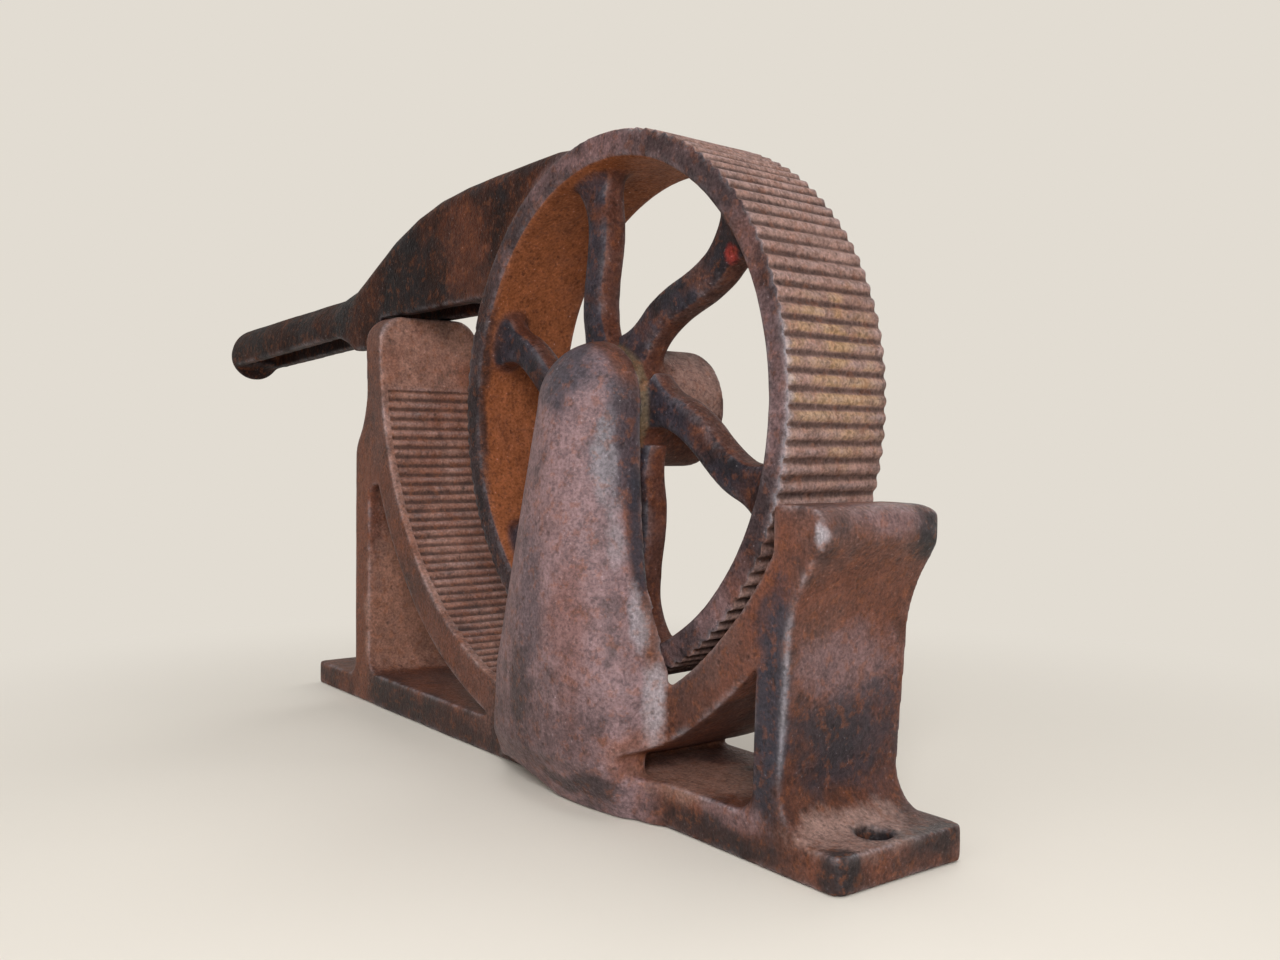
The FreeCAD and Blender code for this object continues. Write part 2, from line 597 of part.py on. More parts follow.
def build_pin():
    body = new_body("axle_pin")
    bind(body, "Placement.Base.z", "axle_height")
    pin = new_sketch(body, "XY_Plane", "pin_outline")
    seat = "-post_back - pin_seat"
    head = "post_back - end_play + head_gap"
    top = head + " + pin_head_thick"
    outline(pin, [
        ("0", seat), ("pin_radius", seat), ("pin_radius", head),
        ("pin_head_radius", head), ("pin_head_radius", top), ("0", top)])
    revolve(body, "pin", pin)
    return body


bodies = [build_frame(), build_wheel(), build_pin()]
doc.recompute()

for item in doc.Objects:
    if "Invalid" in item.State or "Error" in item.State:
        raise RuntimeError("%s is %s" % (item.Name, item.State))
os.makedirs("parts", exist_ok=True)
for body in bodies:
    shape = body.Shape
    if shape.isNull() or not shape.isValid() or len(shape.Solids) != 1:
        raise RuntimeError(body.Label + " is not one sound solid")
    box = shape.BoundBox
    reach = (box.XMin, box.XMax, box.YMin, box.YMax, box.ZMin, box.ZMax)
    print(body.Label, "volume %.0f" % shape.Volume, "faces", len(shape.Faces),
          "X %.1f..%.1f Y %.1f..%.1f Z %.1f..%.1f" % reach)
    shape.exportStep("parts/%s.step" % body.Label)
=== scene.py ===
import json
import math
from typing import NamedTuple

import bmesh
import bpy
import numpy as np
from bpy.props import FloatProperty, FloatVectorProperty, IntProperty, PointerProperty
from bpy.types import Operator, Panel, PropertyGroup
from mathutils import Matrix, Vector


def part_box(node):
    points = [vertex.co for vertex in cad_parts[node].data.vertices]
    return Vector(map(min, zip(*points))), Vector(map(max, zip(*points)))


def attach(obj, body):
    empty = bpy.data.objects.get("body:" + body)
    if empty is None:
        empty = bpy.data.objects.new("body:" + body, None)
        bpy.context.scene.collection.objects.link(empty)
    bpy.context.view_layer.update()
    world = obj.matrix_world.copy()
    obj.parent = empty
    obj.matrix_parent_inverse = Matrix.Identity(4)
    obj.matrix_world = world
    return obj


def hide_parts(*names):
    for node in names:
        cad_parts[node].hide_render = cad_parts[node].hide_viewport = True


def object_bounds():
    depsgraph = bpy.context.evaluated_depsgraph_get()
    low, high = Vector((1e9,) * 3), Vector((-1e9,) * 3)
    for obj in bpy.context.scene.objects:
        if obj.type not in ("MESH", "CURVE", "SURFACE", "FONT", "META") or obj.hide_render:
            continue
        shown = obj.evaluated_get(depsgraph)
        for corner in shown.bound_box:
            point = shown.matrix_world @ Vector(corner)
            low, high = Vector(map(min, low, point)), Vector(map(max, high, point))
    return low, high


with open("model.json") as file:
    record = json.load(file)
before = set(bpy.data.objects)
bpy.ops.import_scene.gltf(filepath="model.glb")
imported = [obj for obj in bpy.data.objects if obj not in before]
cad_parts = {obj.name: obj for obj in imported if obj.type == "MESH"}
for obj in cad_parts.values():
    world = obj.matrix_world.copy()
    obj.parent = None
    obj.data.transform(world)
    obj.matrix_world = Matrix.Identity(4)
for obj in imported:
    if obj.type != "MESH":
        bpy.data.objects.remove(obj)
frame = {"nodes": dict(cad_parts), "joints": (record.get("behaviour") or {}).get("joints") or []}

bl_info = {
    "name": "Rotary cork press",
    "version": (1, 0, 0),
    "blender": (4, 5, 0),
    "location": "View3D > Sidebar > Cork Press",
    "description": "Gives the packed cork press its sand-cast skins, its rust and a plain stage",
    "category": "Object",
}

MM = 0.001
CAD_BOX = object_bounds()
AXLE = Vector(frame["joints"][0]["pos_m"])
WHEEL_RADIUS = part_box("lever_wheel")[1].x
RIM_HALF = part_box("lever_wheel")[1].y


def paint(red, green, blue):
    """A colour written in 0 to 255 display values, as the linear values that shaders take."""
    shares = [value / 255 for value in (red, green, blue)]
    return tuple(s / 12.92 if s <= 0.04045 else ((s + 0.055) / 1.055) ** 2.4 for s in shares)


def colour_property(name, description, *display):
    """A colour, given in display values."""
    return FloatVectorProperty(name=name, description=description, subtype="COLOR", size=3,
                               min=0, max=1, default=paint(*display))


def length_property(name, description, millimetres):
    """A length, given in mm."""
    return FloatProperty(name=name, description=description, default=millimetres / 1000,
                         unit="LENGTH", precision=5)


def angle_property(name, description, degrees):
    """An angle, given in degrees."""
    return FloatProperty(name=name, description=description, default=math.radians(degrees),
                         subtype="ANGLE", precision=3)


def share_property(name, description, share):
    """A share from 0 to 1."""
    return FloatProperty(name=name, description=description, default=share, min=0, max=1)


def count_property(name, description, count):
    """A whole number."""
    return IntProperty(name=name, description=description, default=count)


def power_property(name, description, watts):
    """The power of a lamp."""
    return FloatProperty(name=name, description=description, default=watts, unit="POWER")


class CastingSettings(PropertyGroup):
    """How the sand moulds shaped the castings."""

    voxel: length_property("Mould grain", "Spacing of the skin's points before it is thinned", 0.4)
    faces: count_property("Faces", "Most triangles that a casting keeps", 190000)
    rounding: count_property("Rounding", "Passes that soften the castings' edges", 40)
    edge_rounding: share_property("Edge rounding", "Share of the passes that most edges get", 0.24)
    rib_rounding: share_property("Rib rounding", "Share of the passes that ribs get", 0.01)
    spoke_rounding: share_property("Spoke rounding", "Share of the passes that spokes get", 1.0)
    filling: count_property("Filling", "Passes that fill the corners by the spokes", 240)
    waviness: length_property("Waviness", "Height of the slow unevenness of a cast face", 0.3)
    wave_size: length_property("Wave size", "Width of that unevenness", 18)
    side_room: length_property("Side room", "Rim inside the frame's faces", 2.5)
    cradle_across: length_property("Cradle centre across", "Cradle's centre, from the axle", -16.5)
    cradle_up: length_property("Cradle centre up", "Cradle's centre, above the axle", 19.4)
    cradle_radius: length_property("Cradle radius", "Inside of the cradle's curve", 85.8)
    rib_depth: length_property("Rib depth", "Depth of the grooves", 1.0)
    relief: length_property("Worn relief", "Depth that the worn and filled grooves still have", 0.6)
    rim_pitch: length_property("Rim pitch", "Groove to groove on the rim", 3.2)
    rim_start: angle_property("First rim groove", "From +X towards +Z", 160)
    rim_arc: angle_property("Rim's ribbed arc", "How far round the rim the grooves go", 279.5)
    cradle_pitch: length_property("Cradle pitch", "Groove to groove on the cradle", 2.73)
    cradle_start: angle_property("First cradle groove", "From +X towards +Z", 188.4)
    cradle_arc: angle_property("Cradle's ribbed arc", "How far along the cradle the grooves go", 136)
    cradle_border: length_property("Cradle border", "Plain border beside the grooves", 2.2)
    spoke_swell: length_property("Spoke swell", "What the spokes gain after their softening", 0.35)
    rim_draft: length_property("Rim draft", "How much smaller the rim is at its back", 0.6)
    rim_thick: length_property("Rim thickness", "Rim from inside to outside", 5.9)
    hub_radius: length_property("Hub radius", "Hub", 12.6)
    nose_length: length_property("Nose length", "Rounded end of the grip", 16)


class IronColours(PropertyGroup):
    """The finishes of old japanned iron that has rusted."""

    brown: colour_property("Brown skin", "Dull rust-brown of most cast faces", 94, 68, 62)
    pale: colour_property("Dusty skin", "Purplish grey-brown of handled faces", 124, 100, 102)
    # Also laid as painted light on shaded faces under the cradle.
    worn: colour_property("Worn ribs", "Light brown of ribs that corks have polished", 150, 121, 112)
    cradle: colour_property("Cradle brown", "Warm brown inside the cradle", 148, 110, 97)
    rust: colour_property("Rust", "Red-brown rust", 104, 59, 42)
    # Also laid, with worn, as painted light on shaded faces under the cradle.
    bright_rust: colour_property("Fresh rust", "Orange rust in corners", 128, 74, 44)
    dark: colour_property("Dark skin", "Dark red-brown of the lever", 34, 17, 14)
    # Also laid as painted shade in creases, groove bottoms and the foot's screw hole.
    black: colour_property("Japanning", "Black varnish that is left", 29, 27, 30)
    blue: colour_property("Blue japanning", "Black varnish with a blue cast", 44, 46, 56)
    # Also laid as painted highlights on the standard's shoulder, the lip and rounded front edges.
    bare: colour_property("Bare iron", "Rubbed edges", 160, 154, 160)
    tan: colour_property("Dried grease", "Old grease and cork dust", 166, 134, 94)
    olive: colour_property("Old oil", "Greenish brown round the axle", 98, 84, 66)
    red: colour_property("Red paint", "Traces of red paint", 150, 54, 46)


class StageSettings(PropertyGroup):
    """Floor, light and camera."""

    floor: colour_property("Floor", "Pale floor and backdrop", 226, 220, 210)
    key: power_property("Key light", "Soft light behind the camera", 2.9)
    fill: power_property("Fill light", "Soft light from the front", 0.9)
    back: power_property("Back light", "Soft light from behind", 1.6)
    top: power_property("Top light", "Soft light overhead", 2.6)
    world: FloatProperty(name="Sky", description="Even light from all round", default=0.36, min=0)
    eye: FloatVectorProperty(name="Camera place", description="Where the camera stands", subtype="XYZ",
                             unit="LENGTH", default=(0.207051, -0.157199, 0.073359), precision=5)
    azimuth: angle_property("Azimuth", "Turn of the camera about the object", 53.103)
    elevation: angle_property("Elevation", "How far the camera looks down", 1.628)
    roll: angle_property("Roll", "Tilt of the camera", 0.526)
    lens: FloatProperty(name="Lens", description="Focal length in mm", default=33.75)


class CorkPressSettings(PropertyGroup):
    """All settings of the cork press."""

    casting: PointerProperty(type=CastingSettings)
    colours: PointerProperty(type=IronColours)
    stage: PointerProperty(type=StageSettings)


STEP = 0.5  # share of the way to its neighbours' middle that a point goes in one pass
SPREAD_PASSES = 3  # blurs the border between softer and harder parts
NORMALS_EVERY = 30  # passes of filling between new normals
NEAR_PASSES, FAR_PASSES = 14, 70  # the smoothed faces that edges and hollows are measured from
FULL_EDGE, FULL_GROOVE, FULL_HOLLOW = 0.22 * MM, 0.13 * MM, 0.9 * MM


def vectors_of(mesh, field):
    """The places ("co") or the normals ("normal") of a mesh's points, a row for each."""
    flat = np.empty(len(mesh.vertices) * 3, np.float32)
    mesh.vertices.foreach_get(field, flat)
    return flat.reshape(-1, 3).astype(np.float64)


def put_points(mesh, points):
    """Moves a mesh's points to new places."""
    mesh.vertices.foreach_set("co", points.astype(np.float32).ravel())
    mesh.update()


def edges_of(mesh):
    """The two points of each edge."""
    ends = np.empty(len(mesh.edges) * 2, np.int32)
    mesh.edges.foreach_get("vertices", ends)
    return ends.reshape(-1, 2)


class Relaxer:
    """Moves points towards the middle of the points that edges join them to."""

    def __init__(self, edges, count):
        self.first, self.second = edges.T
        self.count = count
        both = np.bincount(self.first, minlength=count) + np.bincount(self.second, minlength=count)
        self.share = 1.0 / np.maximum(both, 1)[:, None]

    def middle(self, values):
        """The mean of each point's neighbours."""
        summed = np.empty_like(values)
        for axis in range(values.shape[1]):
            column = values[:, axis]
            summed[:, axis] = (np.bincount(self.first, column[self.second], self.count)
                               + np.bincount(self.second, column[self.first], self.count))
        return summed * self.share

    def relax(self, values, passes, weight=STEP):
        """Goes towards that mean in some passes; weight may differ from point to point."""
        for _ in range(passes):
            values = values + weight * (self.middle(values) - values)
        return values


def fill_hollows(mesh, points, among, passes):
    """Fills the hollow corners between some of the points; edges and the rest stay as they are."""
    edges = edges_of(mesh)
    place_among = np.cumsum(among) - 1
    relaxer = Relaxer(place_among[edges[among[edges].all(1)]], np.count_nonzero(among))
    points = points.copy()
    for step in range(passes):
        if step % NORMALS_EVERY == 0:
            put_points(mesh, points)
            outward = vectors_of(mesh, "normal")[among]
            some = points[among]
        dip = ((relaxer.middle(some) - some) * outward).sum(1)
        some = some + STEP * outward * np.maximum(dip, 0)[:, None]
        points[among] = some
    return points


def settle(skin):
    """Replaces the object's mesh by what its modifiers make of it."""
    depsgraph = bpy.context.evaluated_depsgraph_get()
    mesh = bpy.data.meshes.new_from_object(skin.evaluated_get(depsgraph))
    skin.modifiers.clear()
    skin.data = mesh
    return mesh


def keep_values(mesh, name, values):
    """Keeps a value from 0 to 1 at each point, for the material."""
    layer = mesh.attributes.new(name, "FLOAT", "POINT")
    layer.data.foreach_set("value", np.clip(values, 0, 1).astype(np.float32))


def cast_skin(node, name, softness, shape_ribs, filled=None):
    """The node's shape with rounded edges, hollow corners filled a little, and slightly wavy faces.

    softness gives, for points in metres, how much of the rounding each gets. shape_ribs moves the
    points of the ribbed faces, given all points and their normals. filled marks the points between
    which hollow corners get fillets.
    """
    casting = bpy.context.scene.cork_press.casting
    skin = bpy.data.objects.new(name, frame["nodes"][node].data.copy())
    bpy.context.scene.collection.objects.link(skin)
    mould = skin.modifiers.new("mould", "REMESH")
    mould.mode = "VOXEL"
    mould.voxel_size = casting.voxel
    mesh = settle(skin)

    points = vectors_of(mesh, "co")
    relaxer = Relaxer(edges_of(mesh), len(points))
    weight = STEP * relaxer.relax(softness(points)[:, None], SPREAD_PASSES)
    points = relaxer.relax(points, casting.rounding, weight)
    put_points(mesh, points)
    points = shape_ribs(points, vectors_of(mesh, "normal"))
    if filled:
        points = fill_hollows(mesh, points, filled(points), casting.filling)
    put_points(mesh, points)

    outward = vectors_of(mesh, "normal")
    near = relaxer.relax(points, NEAR_PASSES)
    bulge = ((points - near) * outward).sum(1)
    far = relaxer.relax(near, FAR_PASSES)
    dip = ((far - points) * outward).sum(1)
    keep_values(mesh, "edge", bulge / FULL_EDGE)
    keep_values(mesh, "hollow", dip / FULL_HOLLOW)
    # creases and grooves, which the finishes darken as painted shade
    keep_values(mesh, "groove", -bulge / FULL_GROOVE)

    waves = bpy.data.textures.new(name + "_waves", "CLOUDS")
    waves.noise_scale = casting.wave_size
    waves.noise_depth = 2
    uneven = skin.modifiers.new("waves", "DISPLACE")
    uneven.texture = waves
    uneven.texture_coords = "LOCAL"
    uneven.strength = casting.waviness
    thin = skin.modifiers.new("thin", "DECIMATE")
    triangles = 2 * len(mesh.polygons)  # the mould leaves squares
    thin.ratio = min(1.0, casting.faces / triangles)
    mesh = settle(skin)
    mesh.name = name
    mesh.polygons.foreach_set("use_smooth", np.ones(len(mesh.polygons), bool))
    mesh.update()
    return skin


def from_axle(points):
    """How far points are from the axle's line."""
    return np.hypot(points[:, 0] - AXLE.x, points[:, 2] - AXLE.z)


def soft_wheel(points):
    """The rim's ribs keep their edges, the spokes and the grip's nose lose most, the rest some."""
    casting = bpy.context.scene.cork_press.casting
    away = from_axle(points) - WHEEL_RADIUS
    ribbed = (away > -1.7 * casting.rib_depth) & (away < 0.35 * casting.rib_depth)
    ribbed &= np.abs(points[:, 1]) < RIM_HALF - 0.5 * casting.rib_depth
    spokes = away < 0.4 * casting.rib_depth - casting.rim_thick
    spokes &= away > 1.1 * casting.hub_radius - WHEEL_RADIUS
    nose = points[:, 0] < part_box("lever_wheel")[0].x + casting.nose_length
    plain = np.where(spokes | nose, casting.spoke_rounding, casting.edge_rounding)
    return np.where(ribbed, casting.rib_rounding, plain)


def soft_frame(points):
    """The cradle's ribs keep their edges, the rest is rounded."""
    casting = bpy.context.scene.cork_press.casting
    centre_x = AXLE.x + casting.cradle_across
    centre_z = AXLE.z + casting.cradle_up
    away = np.hypot(points[:, 0] - centre_x, points[:, 2] - centre_z) - casting.cradle_radius
    ribbed = (np.abs(away) < 1.7 * casting.rib_depth) & (points[:, 2] < centre_z)
    ribbed &= np.abs(points[:, 1]) < RIM_HALF + casting.side_room - casting.rib_depth
    return np.where(ribbed, casting.rib_rounding, casting.edge_rounding)


CREST_WIDTH = 1.2  # above 1, ribs are wider than grooves


def washboard(arc, pitch):
    """0 on the crest of a rib and 1 at the bottom of a groove, with a groove at the start."""
    return (0.5 + 0.5 * np.cos(2 * np.pi * arc / pitch)) ** CREST_WIDTH


def move_out(points, centre, old, new):
    """Moves points along the line from the centre, in the plane of the wheel."""
    scale = new / np.maximum(old, 1e-6)
    moved = points.copy()
    moved[:, 0] = centre.x + (points[:, 0] - centre.x) * scale
    moved[:, 2] = centre.z + (points[:, 2] - centre.z) * scale
    return moved


def rib_wheel(points, outward):
    """Cuts the rim's grooves to an even depth and fills the spokes out again."""
    casting = bpy.context.scene.cork_press.casting
    radius = from_axle(points)
    radial = (points - np.array(AXLE)) / np.maximum(radius, 1e-6)[:, None]
    facing = outward[:, 0] * radial[:, 0] + outward[:, 2] * radial[:, 2]
    turned = (np.arctan2(radial[:, 2], radial[:, 0]) - casting.rim_start) % (2 * np.pi)
    behind = (points[:, 1] + RIM_HALF) / (2 * RIM_HALF)
    crest = WHEEL_RADIUS - casting.rim_draft * behind
    formed = crest - casting.relief * washboard(turned * WHEEL_RADIUS, casting.rim_pitch)
    ribbed = (radius > crest - 1.6 * casting.rib_depth) & (radius < crest + 0.5 * casting.rib_depth)
    ribbed &= turned < casting.rim_arc
    formed = np.where(facing > 0.3, formed, np.minimum(radius, formed))
    points = move_out(points, AXLE, radius, np.where(ribbed, formed, radius))

    middle = (WHEEL_RADIUS - casting.rim_thick + casting.hub_radius) / 2
    reach = (WHEEL_RADIUS - casting.rim_thick - casting.hub_radius) / 2
    spoke = np.clip(2.5 * (1 - np.abs(radius - middle) / reach), 0, 1)
    return points + outward * (casting.spoke_swell * spoke)[:, None]


def by_spokes(points):
    """The spokes, the rim's inside and the hub's outside."""
    casting = bpy.context.scene.cork_press.casting
    radius = from_axle(points)
    return ((radius > casting.hub_radius - 0.5 * casting.rib_depth)
            & (radius < WHEEL_RADIUS - casting.rim_thick + 0.5 * casting.rib_depth))


def rib_frame(points, outward):
    """Cuts the cradle's grooves."""
    casting = bpy.context.scene.cork_press.casting
    centre = AXLE + Vector((casting.cradle_across, 0, casting.cradle_up))
    across, up = points[:, 0] - centre.x, points[:, 2] - centre.z
    radius = np.hypot(across, up)
    turned = (np.arctan2(up, across) - casting.cradle_start) % (2 * np.pi)
    groove = casting.relief * washboard(turned * casting.cradle_radius, casting.cradle_pitch)
    ribbed = np.abs(radius - casting.cradle_radius) < 1.6 * casting.rib_depth
    ribbed &= np.abs(points[:, 1]) < RIM_HALF + casting.side_room - casting.cradle_border
    formed = np.where(turned < casting.cradle_arc, casting.cradle_radius + groove, radius)
    return move_out(points, centre, radius, np.where(ribbed, formed, radius))


def place(tree, kind, inputs=None, **settings):
    """Adds a shader node; an input is a plain value or the output of another node."""
    made = tree.nodes.new("ShaderNode" + kind)
    for name, value in settings.items():
        setattr(made, name, value)
    for key, value in (inputs or {}).items():
        socket = made.inputs[key]
        if isinstance(value, bpy.types.NodeSocket):
            tree.links.new(value, socket)
        else:
            socket.default_value = value
    return made


def maths(tree, operation, *values):
    """The result of a sum, whose values may be outputs of nodes."""
    return place(tree, "Math", dict(enumerate(values)), operation=operation).outputs[0]


def between(tree, value, low, high):
    """Rises smoothly from 0 at low to 1 at high, or falls where low is the larger."""
    made = place(tree, "MapRange", {"Value": value, "From Min": low, "From Max": high},
                 interpolation_type="SMOOTHSTEP")
    return made.outputs["Result"]


def blend_colours(tree, mask, under, over):
    """The colour over laid on the colour under where the mask is 1."""
    made = place(tree, "Mix", {0: mask}, data_type="RGBA")
    for index, value in ((6, under), (7, over)):
        if isinstance(value, bpy.types.NodeSocket):
            tree.links.new(value, made.inputs[index])
        else:
            made.inputs[index].default_value = (*value, 1)
    return made.outputs[2]


def noise(tree, where, scale, detail=3.0, roughness=0.55, distortion=0.0):
    """A cloudy value from 0 to 1."""
    made = place(tree, "TexNoise", {"Vector": where, "Scale": scale, "Detail": detail,
                                    "Roughness": roughness, "Distortion": distortion})
    return made.outputs[0]


def new_group(name, inputs, outputs):
    """An empty node group with named sockets, and its two end nodes."""
    tree = bpy.data.node_groups.new(name, "ShaderNodeTree")
    for socket, kind, value in inputs:
        made = tree.interface.new_socket(socket, in_out="INPUT", socket_type="NodeSocket" + kind)
        if value is not None:
            made.default_value = value
    for socket, kind in outputs:
        tree.interface.new_socket(socket, in_out="OUTPUT", socket_type="NodeSocket" + kind)
    return tree, tree.nodes.new("NodeGroupInput"), tree.nodes.new("NodeGroupOutput")


def sand_grain():
    """The sandy, pitted skin of a rough casting: a height for bump, a tone, and three kinds of specks."""
    tree, given, result = new_group(
        "sand_grain", [("Where", "Vector", None), ("Fineness", "Float", 900.0), ("Pits", "Float", 0.5)],
        [("Height", "Float"), ("Tone", "Float"), ("Specks", "Float"), ("Dark", "Float"),
         ("Warm", "Float")])
    where, fineness = given.outputs["Where"], given.outputs["Fineness"]
    sand = noise(tree, where, fineness, 4, 0.62)
    coarse = noise(tree, where, maths(tree, "MULTIPLY", fineness, 0.3), 3, 0.55)
    cells = place(tree, "TexVoronoi", {"Vector": where, "Scale": maths(tree, "MULTIPLY", fineness, 0.4)})
    pit = between(tree, cells.outputs["Distance"], 0.42, 0.1)
    scattered = between(tree, noise(tree, where, maths(tree, "MULTIPLY", fineness, 0.15), 2), 0.45, 0.65)
    pitted = maths(tree, "MULTIPLY", maths(tree, "MULTIPLY", pit, scattered), given.outputs["Pits"])
    rough = maths(tree, "MULTIPLY_ADD", coarse, 1.1, sand)
    tree.links.new(maths(tree, "SUBTRACT", rough, pitted), result.inputs["Height"])
    mixed = maths(tree, "ADD", maths(tree, "MULTIPLY", sand, 0.65), maths(tree, "MULTIPLY", coarse, 0.35))
    toned = maths(tree, "SUBTRACT", mixed, maths(tree, "MULTIPLY", pitted, 0.3))
    tree.links.new(between(tree, toned, 0.3, 0.7), result.inputs["Tone"])
    tree.links.new(between(tree, sand, 0.66, 0.76), result.inputs["Specks"])
    soot = noise(tree, where, maths(tree, "MULTIPLY", fineness, 0.6), 4, 0.65)
    tree.links.new(between(tree, soot, 0.53, 0.63), result.inputs["Dark"])
    aside = place(tree, "VectorMath", {0: where, 1: (0.5, 0.2, 0.7)}, operation="ADD").outputs[0]
    bloom = noise(tree, aside, maths(tree, "MULTIPLY", fineness, 0.3), 4, 0.65)
    tree.links.new(between(tree, bloom, 0.52, 0.64), result.inputs["Warm"])
    return tree


def patches():
    """Ragged patches of another finish. Share is how much of the face they cover."""
    tree, given, result = new_group(
        "patches", [("Where", "Vector", None), ("Size", "Float", 60.0), ("Share", "Float", 0.5),
                    ("Edge", "Float", 0.08)], [("Mask", "Float")])
    spread = noise(tree, given.outputs["Where"], given.outputs["Size"], 6, 0.6, 0.3)
    level = maths(tree, "SUBTRACT", 0.76, maths(tree, "MULTIPLY", given.outputs["Share"], 0.52))
    low = maths(tree, "SUBTRACT", level, given.outputs["Edge"])
    high = maths(tree, "ADD", level, given.outputs["Edge"])
    tree.links.new(between(tree, spread, low, high), result.inputs["Mask"])
    return tree


def rubbed_edges():
    """Where hands and time have rubbed the edges, broken up so that it isn't an even line."""
    tree, given, result = new_group(
        "rubbed_edges", [("Where", "Vector", None), ("Edge", "Float", 0.0), ("Amount", "Float", 1.0)],
        [("Mask", "Float")])
    broken = between(tree, noise(tree, given.outputs["Where"], 170.0, 5, 0.7), 0.36, 0.66)
    edge = maths(tree, "POWER", given.outputs["Edge"], 1.4)
    worn = maths(tree, "MULTIPLY", maths(tree, "MULTIPLY", edge, broken), given.outputs["Amount"])
    tree.links.new(worn, result.inputs["Mask"])
    return tree


def stain():
    """A spot round a centre that reaches further along some axes than others, with a ragged edge."""
    tree, given, result = new_group(
        "stain", [("Where", "Vector", None), ("Centre", "Vector", (0, 0, 0)),
                  ("Reach", "Vector", (0.01, 0.01, 0.01)), ("Ragged", "Float", 0.5)], [("Mask", "Float")])
    offset = place(tree, "VectorMath", {0: given.outputs["Where"], 1: given.outputs["Centre"]},
                   operation="SUBTRACT").outputs[0]
    scaled = place(tree, "VectorMath", {0: offset, 1: given.outputs["Reach"]},
                   operation="DIVIDE").outputs[0]
    away = place(tree, "VectorMath", {0: scaled}, operation="LENGTH").outputs["Value"]
    uneven = maths(tree, "SUBTRACT", given.outputs["Ragged"], 0.5)
    shaken = maths(tree, "MULTIPLY_ADD", uneven, 2.4, away)
    tree.links.new(between(tree, shaken, 1.25, 0.5), result.inputs["Mask"])
    return tree


GROUP_MAKERS = {maker.__name__: maker for maker in (sand_grain, patches, rubbed_edges, stain)}


def shared(tree, name, inputs):
    """Places one of the shared node groups, built on first use."""
    group = bpy.data.node_groups.get(name) or GROUP_MAKERS[name]()
    made = tree.nodes.new("ShaderNodeGroup")
    made.node_tree = group
    for key, value in inputs.items():
        if isinstance(value, bpy.types.NodeSocket):
            tree.links.new(value, made.inputs[key])
        else:
            made.inputs[key].default_value = value
    return made.outputs


class Stain(NamedTuple):
    """A spot of another finish: how strong it is, and its centre and reach in mm."""

    finish: str
    strength: float
    centre: tuple
    reach: tuple


FRAME_STAINS = (
    # The standard: varnish left on the dome and on the left, rust low down, a painted highlight down the
    # right shoulder, partly rubbed bare.
    # Darker towards the standard's foot.
    Stain("dark", 0.4, (0, -28, 14), (26, 10, 12)),
    Stain("blue", 0.8, (4, -25, 90), (11, 10, 11)),
    Stain("blue", 0.75, (14, -17, 76), (4, 7, 15)),
    Stain("blue", 0.85, (16.5, -14.5, 54), (3, 2.5, 18)),
    Stain("blue", 0.45, (-1, -29.2, 41), (4.5, 4, 17)),
    Stain("black", 0.6, (-5, -29, 24), (5, 4, 13)),
    Stain("rust", 0.35, (10, -26, 36), (6, 6, 17)),
    Stain("bright_rust", 0.5, (24, -19, 13), (11, 7, 6)),
    Stain("black", 0.7, (12, -23, 5.5), (14, 6, 3.5)),
    # Painted highlight down the right shoulder, partly rubbed bare.
    Stain("bare", 0.35, (12, -19.5, 68), (2.2, 2.5, 13)),
    Stain("bare", 0.4, (14.5, -18.5, 50), (2.2, 2.5, 12)),
    Stain("bare", 0.6, (19.5, -17, 36), (2.6, 2.5, 11)),
    Stain("bare", 0.6, (25, -16.8, 24), (3, 2.5, 10)),
    # The end plate: rust above, a broad dark patch low down, a dark front strip, a rubbed lip with a
    # painted highlight on its front end.
    Stain("rust", 0.6, (62, 4, 47), (8, 13, 10)),
    Stain("pale", 0.6, (60, 0, 34), (8, 14, 8)),
    Stain("blue", 0.7, (58, 3, 22), (10, 17, 12)),
    Stain("black", 0.3, (58, -3, 23), (8, 12, 7)),
    Stain("blue", 0.9, (56.5, -15.5, 28), (6, 2.2, 20)),
    Stain("black", 0.95, (68, 12, 60), (7, 6, 7)),
    Stain("black", 0.6, (62, -10, 63), (4, 5, 3)),
    # Painted highlight on the lip's front end, partly rubbed bare.
    Stain("bare", 0.85, (67.5, -15, 58.5), (1.8, 2, 2.6)),
    Stain("pale", 0.6, (67, 0, 62), (7, 12, 4)),
    Stain("worn", 0.85, (65, -4, 7.5), (9, 15, 3.5)),
    Stain("black", 0.9, (71.5, -13.5, 4), (4.5, 4, 5.5)),
    Stain("black", 0.7, (71, 10, 5), (4, 8, 3)),
    # Painted shade inside the foot's screw hole.
    Stain("black", 0.97, (66.3, 0, 3), (4.6, 4.6, 5.6)),
    # Under the cradle: painted light on the shaded rail, varnish along the rail's front, rust on the leg.
    Stain("worn", 0.9, (28, -6, 8.5), (15, 13, 4)),
    Stain("bright_rust", 0.35, (28, -6, 8.5), (15, 13, 4)),
    Stain("pale", 0.6, (46, -15.3, 7), (9, 2, 3.5)),
    Stain("black", 0.8, (40, -16, 2.5), (18, 4, 3.5)),
    Stain("black", 0.75, (-80, -16, 3), (60, 4, 7)),
    Stain("rust", 0.95, (-114, -15.3, 35), (8, 3, 50)),
    # Painted light on the leg's shaded inner face, in worn and rust colours.
    Stain("worn", 0.8, (-108, -4, 30), (4, 15, 28)),
    Stain("bright_rust", 0.5, (-108, -4, 30), (4, 15, 28)),
)

# Rubbed bare and painted highlight along the plate's front edge.
PLATE_EDGE_WEAR_AND_HIGHLIGHT = Stain("bare", 0.35, (59.6, -15.3, 32), (2, 1.6, 26))
